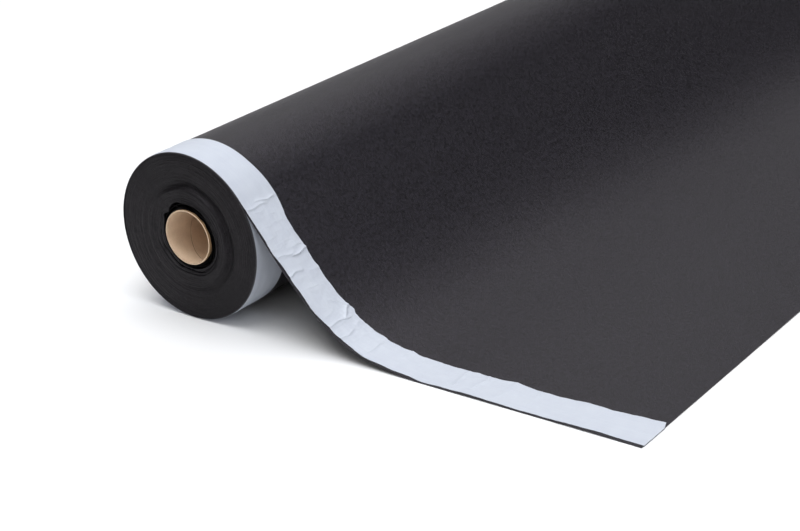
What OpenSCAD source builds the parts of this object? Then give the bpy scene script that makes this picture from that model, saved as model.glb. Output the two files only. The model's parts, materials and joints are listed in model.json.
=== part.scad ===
// Roll of facade membrane on a cardboard core, lying on the floor with its free end drawn out.
// The roll's axis runs along Y, the free end is drawn out towards +X and the floor is at Z = 0.
// The edge that carries the release film is at the -Y end. Lengths are millimetres, angles degrees.

/* [Membrane] */
// Width of the sheet, which is also the length of the roll
sheet_w = 1500; // [500:10:3000]
// Thickness of the sheet
sheet_t = 0.7; // [0.5:0.1:2]
// Outside diameter of the wound roll
roll_d = 226; // [190:1:300]

/* [Free end] */
// Slope of the sheet where it leaves the roll, below level
leave_slope = 53.5; // [48:0.5:60]
// How strongly the hanging sheet keeps to that slope
leave_pull = 166; // [120:1:180]
// Level distance from the roll's axis to where the sheet lies down
touch_reach = 359; // [340:1:450]
// How far ahead of that place the hanging sheet is drawn level
land_pull = 133; // [90:1:160]
// Length of sheet that lies flat on the floor
flat_len = 297; // [50:1:1500]

/* [Release film] */
// Width of the release film over the adhesive edge
film_w = 55; // [30:1:150]
// Thickness of the film
film_t = 0.2; // [0.1:0.05:0.6]
// Clearance under the film for its adhesive
adhesive_t = 0.2; // [0.1:0.05:0.4]
// Bare margin between the film and the edge of the sheet
film_margin = 3; // [1:0.5:20]

/* [Core] */
// Bore of the cardboard core
core_bore = 70; // [50:1:100]
// Wall of the cardboard core
core_wall = 2; // [2:0.5:10]
// How far the core stands out at each end of the roll
core_proud = 1.5; // [0:0.5:15]

/* [Roll ends] */
// Spacing of the turns that show on the ends
ridge_pitch = 2.1; // [1.4:0.1:6]
// Depth of the grooves between those turns
groove_depth = 0.6; // [0.2:0.1:1.5]
// How far the inner turns have slipped along the core, towards the film
slip = 1.5; // [0:0.1:6]
// Radius at the middle of the slipped turns' outer slope
slip_r = 68; // [60:1:85]
// Radial width of that slope
slip_band = 12; // [4:1:20]
// Width of the gap around the core at the mouth of each end
mouth_gap = 5.5; // [1:0.5:8]
// Depth to which that gap tapers away
mouth_depth = 12; // [4:1:40]

/* [Hidden] */
$fn = 180;
curve_steps = 28;          // chords along the hanging sheet
turn_steps = 176;          // chords along the film round the roll
crevice_clearance = 0.3;   // between the film on the roll and the sheet above it
cut_past = 5;              // how far a cutting shape runs past the face that it cuts

roll_r = roll_d / 2;
core_r = core_bore / 2 + core_wall;      // the sheet is wound straight on to the core
mouth_r = core_r + mouth_gap;
film_rise = adhesive_t + film_t;         // of the film's face above the sheet's
axis_z = roll_r + film_rise;             // the roll stands on its film
free_end_x = touch_reach + flat_len;     // from the roll's axis
axis_x = (roll_r - free_end_x) / 2;      // puts the middle of the whole length at X = 0
film_y = -sheet_w / 2 + film_margin;     // the film's outer edge

// Ridges that fill the end from the mouth to the outside in a whole number
ridges = max(1, floor((roll_r - mouth_r) / ridge_pitch));
ridge_step = (roll_r - mouth_r) / ridges / 2;

// Hanging sheet: a cubic curve from the roll's tangent to the floor, along the sheet's upper face.
// Its points are [across, up], with the roll's axis straight above the zero of the first.
function on_roll(r, turn) = [0, axis_z] + r * [cos(turn), sin(turn)];
leave_dir = [cos(leave_slope), -sin(leave_slope)];
leave_turn = 90 - leave_slope;           // where on the roll the sheet leaves, up from level
leave_pt = on_roll(roll_r, leave_turn);
touch_pt = [touch_reach, sheet_t];
handles = [leave_pt, leave_pt + leave_pull * leave_dir, touch_pt - [land_pull, 0], touch_pt];

function curve_at(t) = pow(1 - t, 3) * handles[0] + 3 * pow(1 - t, 2) * t * handles[1]
    + 3 * (1 - t) * pow(t, 2) * handles[2] + pow(t, 3) * handles[3];
function curve_run(t) = pow(1 - t, 2) * (handles[1] - handles[0])
    + 2 * (1 - t) * t * (handles[2] - handles[1]) + pow(t, 2) * (handles[3] - handles[2]);
function curve_up(t) = let (run = curve_run(t)) [-run[1], run[0]] / norm(run);

// The sheet's upper face from the roll to the free end, raised by h
function face_line(h) = concat(
    [for (i = [0 : curve_steps]) let (t = i / curve_steps) curve_at(t) + h * curve_up(t)],
    [[free_end_x, sheet_t + h]]);
function flipped(line) = [for (i = [len(line) - 1 : -1 : 0]) line[i]];

// The angle under the hanging sheet where the gap is still too narrow for the film
crevice = acos(roll_r / (roll_r + sheet_t + film_rise + crevice_clearance));
// The film's line, raised by h: from that angle round the outer turn and on along the free sheet
function film_line(h) = concat(
    [for (i = [turn_steps : -1 : 1]) on_roll(roll_r + h, leave_turn + (360 - crevice) * i / turn_steps)],
    face_line(h));

function ease(u) = let (v = min(1, max(0, u))) v * v * (3 - 2 * v);
function slipped(r) = slip * (1 - ease((r - slip_r) / slip_band + 0.5));

// One end of the roll from the core outwards, as [radius, distance past the end of the sheet].
// inward is the way that the grooves and the mouth are cut: -1 at the film's end and 1 at the other.
function end_line(inward) = concat(
    [[core_r, slipped(core_r) + inward * mouth_depth]],
    [for (i = [0 : 2 * ridges]) let (r = mouth_r + i * ridge_step)
        [r, slipped(r) + (i % 2 == 0 && i < 2 * ridges ? inward * groove_depth : 0)]]);
function raised(line, h) = [for (p = line) p + [0, h]];

// Places a shape drawn round Z on the roll's axis, with its top towards the film
module on_axis() {
    translate([axis_x, 0, axis_z])
        rotate([90, 0, 0])
            children();
}

// Draws a section of the sheet, [across, up], out along the roll from y by a width
module along_roll(y, width) {
    translate([axis_x, y + width, 0])
        rotate([90, 0, 0])
            linear_extrude(height = width)
                children();
}

// All the turns of the roll, with the ends of the turns showing on both ends
module wound_turns() {
    on_axis()
        rotate_extrude()
            polygon(concat(raised(end_line(-1), sheet_w / 2),
                           flipped(raised(end_line(1), -sheet_w / 2))));
}

// The sheet that has been drawn off the roll
module free_sheet() {
    along_roll(-sheet_w / 2, sheet_w)
        polygon(concat(face_line(0), flipped(face_line(-sheet_t))));
}

module membrane() {
    color("#323135")
        union() {
            wound_turns();
            free_sheet();
        }
}

module release_film() {
    color("#d7dce6")
        along_roll(film_y, film_w)
            polygon(concat(film_line(film_rise), flipped(film_line(adhesive_t))));
}

module cardboard_core() {
    length = sheet_w + 2 * core_proud;
    color("#a5835f")
        on_axis()
            difference() {
                cylinder(h = length, r = core_r, center = true);
                cylinder(h = length + 2 * cut_past, d = core_bore, center = true);
            }
}

membrane();
release_film();
cardboard_core();
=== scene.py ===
import json
import math
import random

import bpy
from mathutils import Matrix, Vector, noise


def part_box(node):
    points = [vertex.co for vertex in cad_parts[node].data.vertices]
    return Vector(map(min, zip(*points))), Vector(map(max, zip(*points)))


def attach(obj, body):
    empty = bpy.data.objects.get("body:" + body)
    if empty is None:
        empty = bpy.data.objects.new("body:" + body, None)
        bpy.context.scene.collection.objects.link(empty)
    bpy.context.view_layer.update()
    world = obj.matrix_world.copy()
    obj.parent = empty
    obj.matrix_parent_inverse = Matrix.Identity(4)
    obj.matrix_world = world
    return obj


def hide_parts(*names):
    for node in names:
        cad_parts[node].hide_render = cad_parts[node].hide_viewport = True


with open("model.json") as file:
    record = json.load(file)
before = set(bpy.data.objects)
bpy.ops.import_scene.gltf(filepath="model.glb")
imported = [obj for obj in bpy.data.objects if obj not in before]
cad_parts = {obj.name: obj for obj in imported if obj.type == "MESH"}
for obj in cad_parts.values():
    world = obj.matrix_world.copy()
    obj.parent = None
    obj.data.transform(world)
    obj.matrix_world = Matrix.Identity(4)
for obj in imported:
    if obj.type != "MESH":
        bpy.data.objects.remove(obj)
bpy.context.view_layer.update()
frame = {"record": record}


# Cardboard core
# A tube of kraft board, glued up from paper strips that are wound on a slant, on which the sheet is wound.
# Both ends are cut square, so the plies show on the rims, and stand a little way out of the roll.

bore = frame["record"]["mounts"][0]
axis_x, _, axis_z = bore["pos_m"]
bore_r = bore["dims"]["r_mm"] / 1000
core_low, core_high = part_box("cardboard_core")
core_near, core_far = core_low.y, core_high.y
core_len = core_far - core_near
core_r = (core_high.x - core_low.x) / 2
rim_bevel = 0.0005
liner_wall = 0.0006
liner_setback = 0.0004
board_edge = 40
merge_distance = 0.000005


def on_axis(y):
    """The point of the roll's axis at a length along it."""
    return (axis_x, y, axis_z)


def off_axis(place):
    """The distance of a place from the roll's axis."""
    return math.hypot(place.x - axis_x, place.z - axis_z)


def start_edit(piece, name):
    """Name the piece, put its place in its mesh and open it."""
    piece.name = piece.data.name = name
    bpy.ops.object.transform_apply(location=True, rotation=True, scale=True)
    bpy.ops.object.mode_set(mode="EDIT")


def start_point(name, place):
    """A new piece, open, that starts as one point."""
    bpy.ops.object.select_all(action="DESELECT")
    bpy.ops.mesh.primitive_plane_add(size=0.001, location=place)
    piece = bpy.context.active_object
    start_edit(piece, name)
    bpy.ops.mesh.merge(type="CENTER")
    return piece


def extrude_point(by):
    bpy.ops.mesh.extrude_vertices_move(TRANSFORM_OT_translate={"value": by})


def extrude_edges(by):
    bpy.ops.mesh.extrude_region_move(TRANSFORM_OT_translate={"value": by})


def smooth_to(piece, sharp_angle):
    """Smooth all over, apart from the edges sharper than the angle."""
    bpy.ops.object.select_all(action="DESELECT")
    piece.select_set(True)
    bpy.context.view_layer.objects.active = piece
    bpy.ops.object.shade_smooth_by_angle(angle=math.radians(sharp_angle))


def close_edit(piece, sharp_angle):
    """Merge the doubles, turn the faces outwards and smooth them."""
    bpy.ops.mesh.select_all(action="SELECT")
    bpy.ops.mesh.remove_doubles(threshold=merge_distance)
    bpy.ops.mesh.normals_make_consistent(inside=False)
    bpy.ops.object.mode_set(mode="OBJECT")
    smooth_to(piece, sharp_angle)


def apply_modifier(piece, kind, **settings):
    """Put a modifier on the piece with its settings, and apply it."""
    modifier = piece.modifiers.new(kind.title(), kind)
    for key, value in settings.items():
        setattr(modifier, key, value)
    bpy.context.view_layer.objects.active = piece
    bpy.ops.object.modifier_apply(modifier=modifier.name)


bpy.ops.object.select_all(action="DESELECT")
bpy.ops.mesh.primitive_circle_add(vertices=144, radius=core_r, location=on_axis(core_near),
                                  rotation=(math.pi / 2, 0, 0))
core_tube = bpy.context.active_object
start_edit(core_tube, "core_tube")
extrude_edges((0, core_len, 0))
extrude_edges((0, 0, 0))
narrowed = (bore_r + liner_wall) / core_r
bpy.ops.transform.resize(value=(narrowed, 1, narrowed), center_override=on_axis(core_far))
extrude_edges((0, -core_len, 0))
bpy.ops.mesh.select_all(action="DESELECT")
bpy.ops.mesh.select_non_manifold()
bpy.ops.mesh.bridge_edge_loops()
close_edit(core_tube, board_edge)
apply_modifier(core_tube, "BEVEL", width=rim_bevel, segments=2, limit_method="ANGLE",
               angle_limit=math.radians(60))

# The inmost strip of paper, with an open butt seam between its turns
seam_pitch = 0.1098
seam_gap = 0.0011
seam_angle = math.radians(-80.8)
seam_depth = 0.0178
turns_before = 2
liner_r = bore_r + liner_wall / 2
liner_start = core_near + seam_depth - turns_before * seam_pitch
liner_turns = math.ceil(core_len / seam_pitch) + 2 * turns_before

core_liner = start_point("core_liner", (liner_r * math.cos(seam_angle), liner_start + seam_gap / 2,
                                        liner_r * math.sin(seam_angle)))
extrude_point((0, seam_pitch - seam_gap, 0))
bpy.ops.mesh.select_all(action="SELECT")
bpy.ops.mesh.subdivide(number_cuts=11)
bpy.ops.object.mode_set(mode="OBJECT")
apply_modifier(core_liner, "SCREW", axis="Y", angle=2 * math.pi, screw_offset=seam_pitch,
               iterations=liner_turns, steps=96, render_steps=96)
core_liner.location = on_axis(0)
bpy.ops.object.transform_apply(location=True, rotation=False, scale=False)
bpy.ops.object.mode_set(mode="EDIT")
for cut_y, keep_far in ((core_near + liner_setback, True), (core_far - liner_setback, False)):
    bpy.ops.mesh.select_all(action="SELECT")
    bpy.ops.mesh.bisect(plane_co=on_axis(cut_y), plane_no=(0, 1, 0),
                        clear_inner=keep_far, clear_outer=not keep_far)
close_edit(core_liner, board_edge)
apply_modifier(core_liner, "SOLIDIFY", thickness=liner_wall, offset=0)
smooth_to(core_liner, board_edge)


def new_material(name, roughness):
    """A material and its shader, with a function that adds a node and one that links two sockets."""
    material = bpy.data.materials.new(name)
    material.use_nodes = True
    tree = material.node_tree
    shader = tree.nodes["Principled BSDF"]
    shader.inputs["Roughness"].default_value = roughness

    def add(kind, inputs=(), **settings):
        node = tree.nodes.new("ShaderNode" + kind)
        for key, value in settings.items():
            setattr(node, key, value)
        for key, value in dict(inputs).items():
            if isinstance(value, bpy.types.NodeSocket):
                tree.links.new(value, node.inputs[key])
            else:
                node.inputs[key].default_value = value
        return node

    return material, shader, add, tree.links.new


def colours(add, factor, *stops):
    """A colour ramp on a factor, with stops of (place, colour)."""
    ramp = add("ValToRGB", {"Fac": factor})
    for element, (place, colour) in zip(ramp.color_ramp.elements, stops):
        element.position = place
        element.color = (*colour, 1)
    return ramp.outputs["Color"]


def round_axis(add, place):
    """The way from the roll's axis to a place, and the distance."""
    centred = add("VectorMath", {0: place, 1: on_axis(0)}, operation="SUBTRACT").outputs["Vector"]
    way = add("VectorMath", {0: centred, 1: (1, 0, 1)}, operation="MULTIPLY").outputs["Vector"]
    return way, add("VectorMath", {0: way}, operation="LENGTH").outputs["Value"]


def kraft_board(name, light, dark):
    """Kraft board: short fibres, soft mottling, and the plies as rings round the axis on the cut ends."""
    material, shader, add, link = new_material(name, 0.85)
    shader.inputs["Specular IOR Level"].default_value = 0.2
    place = add("TexCoord").outputs["Object"]
    _, radius = round_axis(add, place)
    plies = add("Math", {0: radius, 1: 2 * math.pi / liner_wall}, operation="MULTIPLY").outputs["Value"]
    ply_wave = add("Math", {0: plies}, operation="SINE").outputs["Value"]
    fibres = add("TexNoise", {"Vector": place, "Scale": 900, "Detail": 6, "Roughness": 0.65})
    mottle = add("TexNoise", {"Vector": place, "Scale": 90, "Detail": 3})
    blend = add("MixRGB", {"Fac": 0.45, "Color1": fibres.outputs["Fac"], "Color2": mottle.outputs["Fac"]})
    shade = add("Math", {0: ply_wave, 1: 0.04, 2: blend.outputs["Color"]}, operation="MULTIPLY_ADD")
    link(colours(add, shade.outputs["Value"], (0.32, dark), (0.68, light)), shader.inputs["Base Color"])
    bump = add("Bump", {"Height": shade.outputs["Value"], "Strength": 0.35, "Distance": 0.0002})
    link(bump.outputs["Normal"], shader.inputs["Normal"])
    return material


# The second kraft, much darker, is painted shade: it goes on the tube's inner wall, which shows only
# through the liner's open seam.
for board in (kraft_board("kraft board", light=(0.82, 0.65, 0.48), dark=(0.68, 0.50, 0.35)),
              kraft_board("kraft painted seam shade", light=(0.26, 0.18, 0.11), dark=(0.16, 0.10, 0.06)),
              kraft_board("kraft painted shade outside", light=(0.50, 0.32, 0.18), dark=(0.38, 0.23, 0.12))):
    core_tube.data.materials.append(board)
core_liner.data.materials.append(kraft_board("kraft liner", light=(0.76, 0.58, 0.42),
                                             dark=(0.62, 0.45, 0.31)))
# The third kraft, a darker brown, is painted shade: it goes on the tube's outer wall, which shows in the
# gap between the core and the first turns.
seam_shade_slot, outside_shade_slot = 1, 2
skin = 0.0001
for face in core_tube.data.polygons:
    r = off_axis(face.center)
    if r < bore_r + liner_wall + skin:
        face.material_index = seam_shade_slot
    elif r > core_r - skin:
        face.material_index = outside_shade_slot
for piece in (core_tube, core_liner):
    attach(piece, "root")
    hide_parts("cardboard_core")


# Wound turns
# About a hundred turns of thin nonwoven membrane, wound straight on to the core and cut to one width.
# The ends show the edges of the turns: the inner turns have slipped out and the first ones stand loose.

roll_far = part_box("membrane")[1].y
roll_near = -roll_far
roll_r = 0.113
sheet_t = 0.0007
turn_clearance = 0.0001
wound_r = roll_r - 2 * (sheet_t + turn_clearance)
core_clearance = 0.0003
mouth_r = 0.0442
mouth_floor = 0.0120
mouth_depth = 0.0300
turn_pitch = 0.00105
turns_shown = round((wound_r - mouth_r) / turn_pitch)
turn_step = (wound_r - mouth_r) / turns_shown
cloth_edge = 50


def ease(u):
    """A smooth step from 0 to 1."""
    u = min(1, max(0, u))
    return u * u * (3 - 2 * u)


def ease_from(x, start, width):
    """A smooth step, 0 up to its start and 1 beyond its width."""
    return ease((x - start) / width)


def hump(x, middle, half_width):
    """A smooth hump, 1 at its middle and 0 at its half width."""
    return ease(1 - abs(x - middle) / half_width)


def turn_between(angle, middle):
    """The angle from the middle, from -180 to 180 degrees."""
    return (angle - middle + 180) % 360 - 180


def turn_hump(angle, middle, half_width):
    """A smooth hump round the roll, in degrees."""
    return hump(turn_between(angle, middle), 0, half_width)


def sine(degrees):
    return math.sin(math.radians(degrees))


def cosine(degrees):
    return math.cos(math.radians(degrees))


# How far the edge of each turn stands out: near that of the turn before, less even among the inner turns
slip_random = random.Random(7)
slip_step, slip_kept = 0.00014, 0.75
loose_count, loose_gain = 18, 3
slips = []
drift = 0
for turn in range(turns_shown):
    looseness = 1 + loose_gain * max(0, 1 - turn / loose_count)
    drift = slip_kept * drift + looseness * slip_random.uniform(-slip_step, slip_step)
    slips.append(drift)

# The mouth from the core to the first turn, as radius and depth
mouth_line = ((core_r + core_clearance, mouth_depth), (core_r + core_clearance + 0.0001, mouth_floor),
              (mouth_r - 0.0010, mouth_floor - 0.0010), (mouth_r - 0.0004, 0.0025))
groove_depth, groove_share, edge_share = 0.00055, 0.25, 0.85
deep_groove, deep_turns = 0.0013, 9
outer_drop = 0.0005


def wound_end(y, outward):
    """The line of one end from the core outwards: the mouth, then a groove and an edge for each turn."""
    line = [(r, y - outward * depth) for r, depth in mouth_line]
    for turn, slip in enumerate(slips):
        r = mouth_r + turn * turn_step
        groove = groove_depth + deep_groove * max(0, 1 - turn / deep_turns)
        line.append((r, y + outward * (slip - groove)))
        line.append((r + groove_share * turn_step, y + outward * slip))
        line.append((r + edge_share * turn_step, y + outward * slip))
    line.append((wound_r, y - outward * outer_drop))
    return line


section = wound_end(roll_near, -1) + wound_end(roll_far, 1)[::-1]
places = [Vector((axis_x + r, y, axis_z)) for r, y in section]
wound_turns = start_point("wound_turns", places[0])
for here, there in zip(places, places[1:] + places[:1]):
    extrude_point(there - here)
bpy.ops.mesh.select_all(action="SELECT")
bpy.ops.mesh.remove_doubles(threshold=merge_distance)
bpy.ops.mesh.spin(steps=160, angle=2 * math.pi, center=on_axis(0), axis=(0, 1, 0), use_auto_merge=True)
close_edit(wound_turns, cloth_edge)

# The mouth is pressed towards one side, with folds in its edge: middle angle, half width and how far out
mouth_wider, mouth_shift, mouth_side = 0.0002, 0.0036, 30
mouth_folds = ((113, 24, 0.0030), (149, 10, 0.0032), (135, 7, -0.0016),
               (-25, 34, 0.0015), (33, 24, -0.0012), (-132, 24, -0.0012))


def mouth_bulge(angle):
    """How far the mouth's edge stands off its mean radius."""
    bulge = mouth_wider + mouth_shift * cosine(angle - mouth_side)
    for middle, half_width, out in mouth_folds:
        bulge += out * turn_hump(angle, middle, half_width)
    return bulge


# Forms of the ends, each with its height, radius and width: inner turns that have slipped out, a valley
# round them, gaps between parted turns (with their shares of the depth), a rounded shoulder, a soft swell
slip_out, slip_r, slip_band = 0.0022, 0.0630, 0.0060
valley_in, valley_r, valley_half = 0.0037, 0.0705, 0.0078
gap_in = 0.0014
gaps = ((0.0480, 0.0014, 1.0), (0.0522, 0.0013, 0.7))
shoulder_in, shoulder_r, shoulder_band = 0.0007, 0.0990, 0.0125
swell_out, swell_r, swell_half = 0.0005, 0.0880, 0.0200
slip_middle, gap_middle = 34, -75
grain_out, grain_across, grain_around = 0.00035, 700, 1.7


def end_height(r, angle):
    """How far the end stands out at a place, with all its forms added up."""
    slip_side = 1 - 0.92 * ease_from(abs(turn_between(angle, slip_middle)), start=50, width=75)
    gap_side = 1 - 0.75 * ease_from(abs(turn_between(angle, gap_middle)), start=50, width=60)
    wander = r + 0.0010 * sine(3 * angle + 20) + 0.0006 * sine(7 * angle)
    slipped = slip_out * slip_side * (1 - ease_from(wander, slip_r, slip_band))
    valley = valley_in * slip_side * hump(wander, valley_r, valley_half)
    parted = gap_in * gap_side * sum(share * hump(wander, gap_r, half) for gap_r, half, share in gaps)
    shoulder = shoulder_in * ease_from(r, shoulder_r, shoulder_band) ** 2
    swell = swell_out * sine(2 * angle + 30) * hump(r, swell_r, swell_half)
    grain_place = (r * grain_across, grain_around * cosine(angle), grain_around * sine(angle))
    return slipped - valley - parted - shoulder + swell + grain_out * noise.noise(Vector(grain_place))


full_depth = 0.008
mouth_out_r, mouth_fade = 0.044, 0.010
far_end_turn = 140
for vertex in wound_turns.data.vertices:
    x, y, z = vertex.co
    outward = -1 if y < 0 else 1
    depth = roll_far - abs(y)
    if depth > mouth_depth:
        continue
    r = off_axis(vertex.co)
    angle = math.degrees(math.atan2(z - axis_z, x - axis_x))
    if outward == 1:
        angle += far_end_turn
    near_end = 1 - ease_from(depth, full_depth, mouth_depth - full_depth)
    near_mouth = near_end * (1 - ease_from(r, mouth_out_r, mouth_fade))
    new_r = max(r + near_mouth * mouth_bulge(angle), core_r + core_clearance)
    vertex.co = (axis_x + (x - axis_x) * new_r / r, y + outward * near_end * end_height(r, angle),
                 axis_z + (z - axis_z) * new_r / r)

# The first turns, which stand loose round the core, and the dips in their edge: middle, half width, share
loose_depth = 0.012
steps_a_turn = 96
first_gap = 0.0006
fold_turn = 0.045
edge_dips = ((-18, 24, 1.0), (18, 15, 0.3), (42, 13, 0.35), (66, 16, 0.45))


def loose_turn(name, end_y, outward, start_angle, turns, radii, setback, slack, follow, fold, dip):
    """Turns that wave off a true spiral by slack and follow the mouth's edge by a share of its bulge.
    They are set back from the roll's end: fold lifts their start off the core, and dip sinks their edge."""
    line = []
    first_r, last_r = radii
    steps = round(turns * steps_a_turn)
    for step in range(steps + 1):
        share = step / steps
        angle = start_angle - 360 * turns * share
        r = first_r + (last_r - first_r) * share
        r += slack * (0.4 + 0.6 * share) * sine(3 * angle + 200 * share)
        r += slack * 0.45 * sine(8 * angle + 60)
        r += follow * (0.25 + 0.75 * share) * mouth_bulge(angle)
        r = max(r, core_r + first_gap) + fold * (1 - ease_from(share * turns, 0, fold_turn))
        depth = setback + 0.6 * slack * (sine(5 * angle) + sine(9 * angle + 70))
        for middle, half_width, part in edge_dips:
            depth += dip * part * turn_hump(angle, middle, half_width)
        line.append(Vector((axis_x + r * cosine(angle), end_y - outward * depth, axis_z + r * sine(angle))))
    strip = start_point(name, line[0])
    extrude_point((0, -outward * loose_depth, 0))
    bpy.ops.mesh.select_all(action="SELECT")
    for here, there in zip(line, line[1:]):
        extrude_edges(there - here)
    close_edit(strip, cloth_edge)
    apply_modifier(strip, "SOLIDIFY", thickness=sheet_t, offset=0, material_offset_rim=1)
    smooth_to(strip, cloth_edge)
    return strip


first_turns = {"turns": 1.3, "radii": (0.0377, 0.0384), "setback": 0.0002, "slack": 0.0004,
               "follow": 0.16, "fold": 0, "dip": 0.0036}
loose_turns = {"turns": 1.7, "radii": (0.0398, 0.0426), "setback": 0.0014, "slack": 0.0014,
               "follow": 0.56, "fold": 0.0050, "dip": 0}
loose_pieces = [loose_turn("first_turns_near", roll_near, -1, start_angle=150, **first_turns),
                loose_turn("first_turns_far", roll_far, 1, start_angle=190, **first_turns),
                loose_turn("loose_turns_near", roll_near, -1, start_angle=121, **loose_turns),
                loose_turn("loose_turns_far", roll_far, 1, start_angle=250, **loose_turns)]


def varied_gloss(add, shade, roughness, spread):
    """Roughness that varies with the shade."""
    return add("MapRange", {"Value": shade, "From Min": 0.3, "From Max": 0.7, "To Min": roughness - spread,
                            "To Max": roughness + spread}).outputs["Result"]


def turn_rings(add, place):
    """Uneven rings round the roll's axis: noise that changes fast across them and slowly round them."""
    fast, slow = 430, 5
    way, radius = round_axis(add, place)
    way = add("VectorMath", {0: way}, operation="NORMALIZE").outputs["Vector"]
    around = add("VectorMath", {0: way, 1: (slow, 0, slow)}, operation="MULTIPLY").outputs["Vector"]
    across = add("Math", {0: radius, 1: fast}, operation="MULTIPLY").outputs["Value"]
    across = add("CombineXYZ", {"Y": across}).outputs["Vector"]
    ring_place = add("VectorMath", {0: around, 1: across}, operation="ADD").outputs["Vector"]
    rings = add("TexNoise", {"Vector": ring_place, "Scale": 1, "Detail": 4, "Roughness": 0.7})
    return rings.outputs["Fac"]


def membrane_cloth(name, light, dark, shine, rings=False):
    """Charcoal nonwoven: fine felted fibres with a dull sheen, and on the ends rings for the turns."""
    roughness = 0.46
    material, shader, add, link = new_material(name, roughness)
    shader.inputs["Specular IOR Level"].default_value = shine
    shader.inputs["Specular Tint"].default_value = (1.0, 0.94, 1.0, 1)
    place = add("TexCoord").outputs["Object"]
    felt = add("TexNoise", {"Vector": place, "Scale": 560, "Detail": 4, "Roughness": 0.8})
    patches = add("TexNoise", {"Vector": place, "Scale": 210, "Detail": 3, "Roughness": 0.6})
    blend = add("MixRGB", {"Fac": 0.5, "Color1": felt.outputs["Fac"], "Color2": patches.outputs["Fac"]})
    shade = blend.outputs["Color"]
    if rings:
        bands = turn_rings(add, place)
        shade = add("MixRGB", {"Fac": 0.28, "Color1": shade, "Color2": bands}).outputs["Color"]
    link(colours(add, shade, (0.38, dark), (0.62, light)), shader.inputs["Base Color"])
    link(varied_gloss(add, shade, roughness, 0.05), shader.inputs["Roughness"])
    bump = add("Bump", {"Height": shade, "Strength": 0.9, "Distance": 0.0009})
    link(bump.outputs["Normal"], shader.inputs["Normal"])
    return material


turn_edges = membrane_cloth("membrane edges", light=(0.0205, 0.0185, 0.0212), dark=(0.0014, 0.0012, 0.0015),
                            shine=0.25, rings=True)
# A near-black, barely glossy membrane that is painted shade: it darkens the mouth round the core, the deep
# grooves near it and the loose first turns.
painted_gap_shade = membrane_cloth("membrane painted shade in the gap", light=(0.0040, 0.0036, 0.0040),
                              dark=(0.0010, 0.0009, 0.0010), shine=0.04)
wound_turns.data.materials.append(turn_edges)
wound_turns.data.materials.append(painted_gap_shade)
# Faces near the mouth that lie more than about a millimetre deep in the ends take the painted shade.
painted_shade_slot, painted_shade_r, painted_shade_depth = 1, 0.0500, 0.0012
for face in wound_turns.data.polygons:
    if off_axis(face.center) < painted_shade_r and roll_far - abs(face.center.y) > painted_shade_depth:
        face.material_index = painted_shade_slot
# The loose turns' faces take the painted shade, and their cut rims take the edge material.
for piece in loose_pieces:
    piece.data.materials.append(painted_gap_shade)
    piece.data.materials.append(turn_edges)
for piece in (wound_turns, *loose_pieces):
    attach(piece, "root")
    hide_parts("membrane")


# Drawn sheet
# The last turn of the membrane and the free end that has been drawn off it, one sheet of thin nonwoven.
# It comes off the top of the roll, hangs down to the floor in one soft curve and lies flat there.

sheet_w = roll_far - roll_near
turn_gap = 0.003
turn_len = 2 * math.pi * roll_r - turn_gap
leave_slope = math.radians(53.5)
leave_turn = math.pi / 2 - leave_slope
leave_pull, land_pull = 0.166, 0.133
touch_reach, flat_len = 0.359, 0.297
leave_point = Vector((axis_x + roll_r * math.cos(leave_turn), axis_z + roll_r * math.sin(leave_turn)))
touch_point = Vector((axis_x + touch_reach, sheet_t))
handles = (leave_point, leave_point + leave_pull * Vector((math.cos(leave_slope), -math.sin(leave_slope))),
           touch_point - Vector((land_pull, 0)), touch_point)
hang_steps = 600


def hang_at(t):
    """The hanging sheet's upper face: a cubic curve from the roll's tangent to the floor."""
    a, b, c, d = handles
    return (1 - t) ** 3 * a + 3 * (1 - t) ** 2 * t * b + 3 * (1 - t) * t ** 2 * c + t ** 3 * d


hang_line = [hang_at(step / hang_steps) for step in range(hang_steps + 1)]
hang_runs = [0]
for here, there in zip(hang_line, hang_line[1:]):
    hang_runs.append(hang_runs[-1] + (there - here).length)
hang_len = hang_runs[-1]
sheet_len = turn_len + hang_len + flat_len


def hang_place(run):
    """The place on the hanging curve at a length from the roll, and its upward normal."""
    low, high = 0, hang_steps
    while high - low > 1:
        middle = (low + high) // 2
        low, high = (middle, high) if hang_runs[middle] <= run else (low, middle)
    share = (run - hang_runs[low]) / (hang_runs[high] - hang_runs[low])
    t = (low + share) / hang_steps
    small = 0.0005
    ahead = hang_at(min(1, t + small)) - hang_at(max(0, t - small))
    return hang_at(t), Vector((-ahead.y, ahead.x)).normalized()


def sheet_place(run):
    """The upper face and its normal at a length from where the sheet leaves the roll: back round the roll
    if it is negative, and otherwise down to the floor and along it."""
    if run < 0:
        turn = leave_turn - run / roll_r
        r = roll_r + (sheet_t + turn_clearance) * run / (2 * math.pi * roll_r)
        out = Vector((math.cos(turn), math.sin(turn)))
        return Vector((axis_x, axis_z)) + r * out, out
    if run < hang_len:
        return hang_place(run)
    return touch_point + Vector((run - hang_len, 0)), Vector((0, 1))


sway_height = 0.0007
edge_height, edge_reach = 0.0006, 0.05


def sheet_sway(run, across):
    """Soft unevenness of the free sheet, nothing on the roll and little where it lies on the floor."""
    free = ease_from(run, start=0, width=0.10)
    hanging = 1 - 0.75 * ease_from(run, start=0.20, width=0.14)
    sway = 1.6 + math.sin(across * 9.1 + run * 6.0) + 0.6 * math.sin(across * 17.3 - run * 11.0 + 1.3)
    near_edge = math.exp(-across / edge_reach) + math.exp(-(sheet_w - across) / edge_reach)
    edge = near_edge * (1 + math.sin(run * 47 + 0.6))
    return free * (sway_height * hanging * sway + edge_height * edge)


def sheet_point(run, across, lift):
    """A point raised off the upper face, at a length from the roll and a distance from the near edge."""
    place, out = sheet_place(run)
    place = place + out * (lift + sheet_sway(run, across))
    return Vector((place.x, roll_near + across, place.y))


def start_grid(name, along, across):
    """A new piece that starts as a flat grid, one metre square."""
    bpy.ops.object.select_all(action="DESELECT")
    bpy.ops.mesh.primitive_grid_add(x_subdivisions=along, y_subdivisions=across, size=1)
    piece = bpy.context.active_object
    piece.name = piece.data.name = name
    return piece


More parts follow.
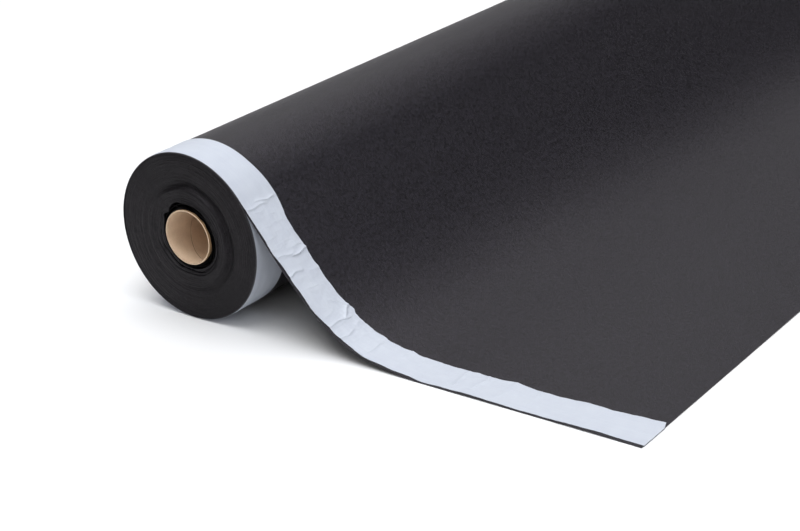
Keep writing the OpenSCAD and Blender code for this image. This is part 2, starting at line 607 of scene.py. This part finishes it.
drawn_sheet = start_grid("drawn_sheet", along=300, across=75)
for vertex in drawn_sheet.data.vertices:
    run = (vertex.co.x + 0.5) * sheet_len - turn_len
    across = (vertex.co.y + 0.5) * sheet_w
    vertex.co = sheet_point(run, across, 0)
apply_modifier(drawn_sheet, "SOLIDIFY", thickness=sheet_t, offset=-1)
smooth_to(drawn_sheet, cloth_edge)
drawn_sheet.data.materials.append(membrane_cloth("membrane cloth", light=(0.0212, 0.0194, 0.0265),
                                                 dark=(0.0025, 0.0022, 0.0030), shine=0.58))
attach(drawn_sheet, "root")
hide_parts("membrane")


# Release film
# A strip of thin satin plastic film over the adhesive along one edge, peeled off when the membrane is laid.
# It is stuck down, so it follows the sheet, and creases across its width where the sheet bends back.

film_gap = 0.0105
film_start = film_gap - turn_len
film_lift = 0.0004
film_t = 0.0002
film_outer, film_inner = 0.0014, 0.0580
film_past = 0.0009
free_len = hang_len + flat_len

# Creases across the film: (run, place across) at both ends, height, and reach of the sides before and after
creases = (
    ((0.0105, 0.024), (0.0135, 0.0600), 0.00128, 0.0030, 0.0016),
    ((0.0150, 0.002), (0.0170, 0.0400), 0.00120, 0.0034, 0.0015),
    ((0.0240, 0.010), (0.0225, 0.0300), 0.00040, 0.0030, 0.0020),
    ((0.0850, 0.002), (0.0880, 0.0340), 0.00104, 0.0030, 0.0015),
    ((0.0920, 0.026), (0.0895, 0.0620), 0.00192, 0.0032, 0.0020),
    ((0.0790, 0.030), (0.0840, 0.0620), 0.00056, 0.0030, 0.0020),
    ((0.1125, 0.002), (0.1115, 0.0300), 0.00120, 0.0030, 0.0014),
    ((0.1190, 0.034), (0.1185, 0.0600), 0.00064, 0.0040, 0.0020),
    ((0.1600, 0.034), (0.1820, 0.0530), 0.00104, 0.0028, 0.0020),
    ((0.1780, 0.060), (0.1925, 0.0350), 0.00176, 0.0045, 0.0022),
    ((0.1925, 0.003), (0.1950, 0.0470), 0.00144, 0.0034, 0.0014),
    ((0.2070, 0.040), (0.2085, 0.0600), 0.00080, 0.0030, 0.0020),
    ((0.2150, 0.002), (0.2140, 0.0330), 0.00104, 0.0030, 0.0014),
    ((0.2500, 0.006), (0.2520, 0.0500), 0.00088, 0.0032, 0.0014),
    ((0.2870, 0.036), (0.2885, 0.0620), 0.00080, 0.0036, 0.0020),
    ((0.3120, 0.030), (0.3125, 0.0600), 0.00056, 0.0030, 0.0016),
    ((0.3780, 0.010), (0.3740, 0.0560), 0.00120, 0.0028, 0.0013),
    ((0.4030, 0.018), (0.4045, 0.0600), 0.00120, 0.0028, 0.0013),
    ((0.4380, 0.010), (0.4410, 0.0620), 0.00072, 0.0036, 0.0016),
    ((0.4800, 0.012), (0.4775, 0.0540), 0.00096, 0.0028, 0.0013),
)
crease_past, crease_fade = 0.12, 0.30
crease_waver = 0.0012
crease_reach = 0.025


def crease_lift(run, across):
    """The height of the creases at a place: each wavers a little, and fades out just past both its ends."""
    total = 0
    for (run_0, across_0), (run_1, across_1), height, before, after in creases:
        share = (across - across_0) / (across_1 - across_0)
        if not -crease_past < share < 1 + crease_past:
            continue
        off = run - (run_0 + share * (run_1 - run_0)) - crease_waver * math.sin(share * 7 + run_0 * 400)
        if abs(off) > crease_reach:
            continue
        along = ease((share + crease_past) / crease_fade) * ease((1 + crease_past - share) / crease_fade)
        total += height * along * math.exp(-abs(off) / (before if off < 0 else after))
    return total


# Places where the inner edge of the film has slid out: run, how far, and the lengths before and after
edge_slips = ((0.010, 0.0042, 0.060, 0.034), (0.091, 0.0010, 0.020, 0.006), (0.118, 0.0010, 0.012, 0.005),
              (0.188, 0.0044, 0.014, 0.008), (0.246, 0.0012, 0.016, 0.006), (0.2885, 0.0018, 0.016, 0.012),
              (0.330, 0.0014, 0.016, 0.008), (0.386, 0.0012, 0.012, 0.006), (0.441, 0.0036, 0.026, 0.026),
              (0.540, 0.0036, 0.040, 0.034), (0.640, 0.0084, 0.110, 0.010))
margin_free, margin_lying, margin_end = 0.0014, 0.0005, 0.0024
pulled_in = 0.0030


def film_edges(run):
    """The places across the sheet of the film's outer and inner edges."""
    free = ease_from(run, start=0, width=0.08)
    lying = ease_from(run, start=0.34, width=0.08)
    waves = 0.0010 * math.sin(run * 66 + 0.4) + 0.0007 * math.sin(run * 143)
    margin = margin_free + (margin_lying - margin_free) * lying
    outer = film_outer + free * (margin + (1 - 0.65 * lying) * waves)
    outer += margin_end * ease_from(run, start=0.50, width=0.12)
    inner = film_inner - pulled_in * ease_from(run, start=0.030, width=0.022)
    inner += 0.0004 * free * math.sin(run * 260 + 1.0)
    for peak, out, before, after in edge_slips:
        inner += out * ease(1 - (peak - run) / before if run < peak else 1 - (run - peak) / after)
    return outer, inner


streak_height, crumple_height, wrinkle_height = 0.00034, 0.00040, 0.00017


def film_slack(run, across):
    """Slack in the film: soft streaks along it round the roll, and crumples and fine wrinkles beyond."""
    free = ease_from(run, start=0, width=0.05)
    lying = ease_from(run, start=0.20, width=0.06)
    swell = 0.5 + 0.5 * math.sin(run * 23 + 1.7 * math.sin(run * 9))
    streak = 1 + 0.5 * math.sin(across * 390 + 2.2 * math.sin(run * 13))
    streak += 0.5 * math.sin(across * 170 + 1.3 * math.sin(run * 7))
    crumple = noise.noise(Vector((run * 95, across * 70, 3.1)))
    crumple += 0.5 * noise.noise(Vector((run * 210, across * 160, 8)))
    bent = run + 0.003 * noise.noise(Vector((run * 60, across * 60, 5.0)))
    wrinkle = ease(1 - abs(noise.noise(Vector((bent * 66, across * 11, 1.0)))) / 0.08)
    fine = crumple_height * max(0, crumple + 0.35) + wrinkle_height * wrinkle
    return streak_height * (1 - 0.7 * free) * streak * swell + free * (1 - 0.5 * lying) * fine


def film_run(along):
    """The length at a share of the film's grid, with half of the grid where the film hangs and creases."""
    on_roll, hanging = 0.25, 0.75
    if along < on_roll:
        return film_start * (1 - along / on_roll)
    if along < hanging:
        return hang_len * (along - on_roll) / (hanging - on_roll)
    return hang_len + flat_len * (along - hanging) / (1 - hanging)


corner_cut, corner_share = 0.0046, 0.20
end_reach = 0.06
slack_reach = 0.05
film_strip = start_grid("film_strip", along=930, across=48)
for vertex in film_strip.data.vertices:
    run = film_run(vertex.co.x + 0.5)
    share = vertex.co.y + 0.5
    end_shift = film_past - corner_cut * max(0, 1 - (1 - share) / corner_share)
    run += end_shift * ease_from(run, free_len - end_reach, end_reach)
    outer, inner = film_edges(run)
    across = outer + share * (inner - outer)
    slack = film_slack(run, across) * ease_from(run, film_start, slack_reach)
    vertex.co = sheet_point(run, across, film_lift + slack + crease_lift(run, across))
apply_modifier(film_strip, "SOLIDIFY", thickness=film_t, offset=-1)
smooth_to(film_strip, cloth_edge)


def satin_film(name, light, dark):
    """Satin plastic film: faint streaks along it, soft clouds and a fine crinkle."""
    roughness = 0.43
    material, shader, add, link = new_material(name, roughness)
    shader.inputs["Specular IOR Level"].default_value = 0.4
    flat_place = add("TexCoord").outputs["UV"]
    drawn_out = add("Mapping", {"Vector": flat_place, "Scale": (12, 26, 1)}).outputs["Vector"]
    streaks = add("TexNoise", {"Vector": drawn_out, "Scale": 1, "Detail": 5, "Roughness": 0.6})
    place = add("TexCoord").outputs["Object"]
    clouds = add("TexNoise", {"Vector": place, "Scale": 60, "Detail": 4})
    crinkle = add("TexNoise", {"Vector": place, "Scale": 220, "Detail": 3})
    blend = add("MixRGB", {"Fac": 0.5, "Color1": streaks.outputs["Fac"], "Color2": clouds.outputs["Fac"]})
    shade = blend.outputs["Color"]
    link(colours(add, shade, (0.35, dark), (0.65, light)), shader.inputs["Base Color"])
    link(varied_gloss(add, shade, roughness, 0.07), shader.inputs["Roughness"])
    surface = add("MixRGB", {"Fac": 0.5, "Color1": shade, "Color2": crinkle.outputs["Fac"]})
    bump = add("Bump", {"Height": surface.outputs["Color"], "Strength": 0.25, "Distance": 0.0010})
    link(bump.outputs["Normal"], shader.inputs["Normal"])
    return material


film_strip.data.materials.append(satin_film("release film", light=(0.603, 0.639, 0.708),
                                            dark=(0.560, 0.594, 0.672)))
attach(film_strip, "root")
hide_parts("release_film")


# Floor, light and camera
# A plain white studio floor under a broad soft light, weaker ones from the front and from behind, and a
# small lamp over the roll's near end. The camera stands off that end, to the right, and looks down at it.

floor_drop = 0.0002
bpy.ops.object.select_all(action="DESELECT")
bpy.ops.mesh.primitive_plane_add(size=60, location=(0, 0, -floor_drop))
floor = bpy.context.active_object
floor.name = floor.data.name = "floor"
floor_paint, floor_shader, _, _ = new_material("white floor", 0.7)
floor_shader.inputs["Base Color"].default_value = (0.93, 0.93, 0.935, 1)
floor_shader.inputs["Specular IOR Level"].default_value = 0.1
floor.data.materials.append(floor_paint)

world = bpy.data.worlds.new("studio")
bpy.context.scene.world = world
world.use_nodes = True
world.node_tree.nodes["Background"].inputs["Color"].default_value = (1, 1, 1, 1)
world.node_tree.nodes["Background"].inputs["Strength"].default_value = 0.02


def hang_light(lamp, towards, place=(0, 0, 0)):
    """Put a lamp in the scene, so that its light comes from the way that is given."""
    light = bpy.data.objects.new(lamp.name, lamp)
    light.location = place
    light.rotation_euler = Vector(towards).to_track_quat("Z", "Y").to_euler()
    bpy.context.scene.collection.objects.link(light)


for name, towards, strength, spread in (("top light", (0, 0, 1), 2.70, 60),
                                        ("front light", (0.50, -0.48, 0.72), 0.85, 60),
                                        ("back light", (-0.60, 0.62, 0.50), 0.34, 50)):
    lamp = bpy.data.lights.new(name, "SUN")
    lamp.energy = strength
    lamp.angle = math.radians(spread)
    hang_light(lamp, towards)

near_lamp = bpy.data.lights.new("near lamp", "AREA")
near_lamp.energy = 3.2
near_lamp.size = 0.8
near_lamp.color = (0.76, 0.86, 1.0)
lamp_place, lamp_aim = Vector((0.1, -0.9, 1.5)), Vector((0, -0.6, 0))
hang_light(near_lamp, lamp_place - lamp_aim, lamp_place)

# The angles, the place and the lens are fitted to the photograph
view_turn, view_down, view_roll = (math.radians(degrees) for degrees in (36.8225, 23.5151, -2.54467))
camera_place = Vector((1.224538, -2.300657, 0.991369))
lens_px, picture_w = 1812.427, 800
looking = Vector((-math.sin(view_turn) * math.cos(view_down), math.cos(view_turn) * math.cos(view_down),
                  -math.sin(view_down)))
level = looking.cross(Vector((0, 0, 1))).normalized()
above = level.cross(looking)
right = level * math.cos(view_roll) + above * math.sin(view_roll)
up = above * math.cos(view_roll) - level * math.sin(view_roll)
camera_data = bpy.data.cameras.new("camera")
camera_data.sensor_width = 36
camera_data.lens = camera_data.sensor_width * lens_px / picture_w
camera = bpy.data.objects.new("camera", camera_data)
turned = Matrix((right, up, -looking)).transposed().to_4x4()
camera.matrix_world = Matrix.Translation(camera_place) @ turned
bpy.context.scene.collection.objects.link(camera)
bpy.context.scene.camera = camera
bpy.context.scene.view_settings.view_transform = "Standard"
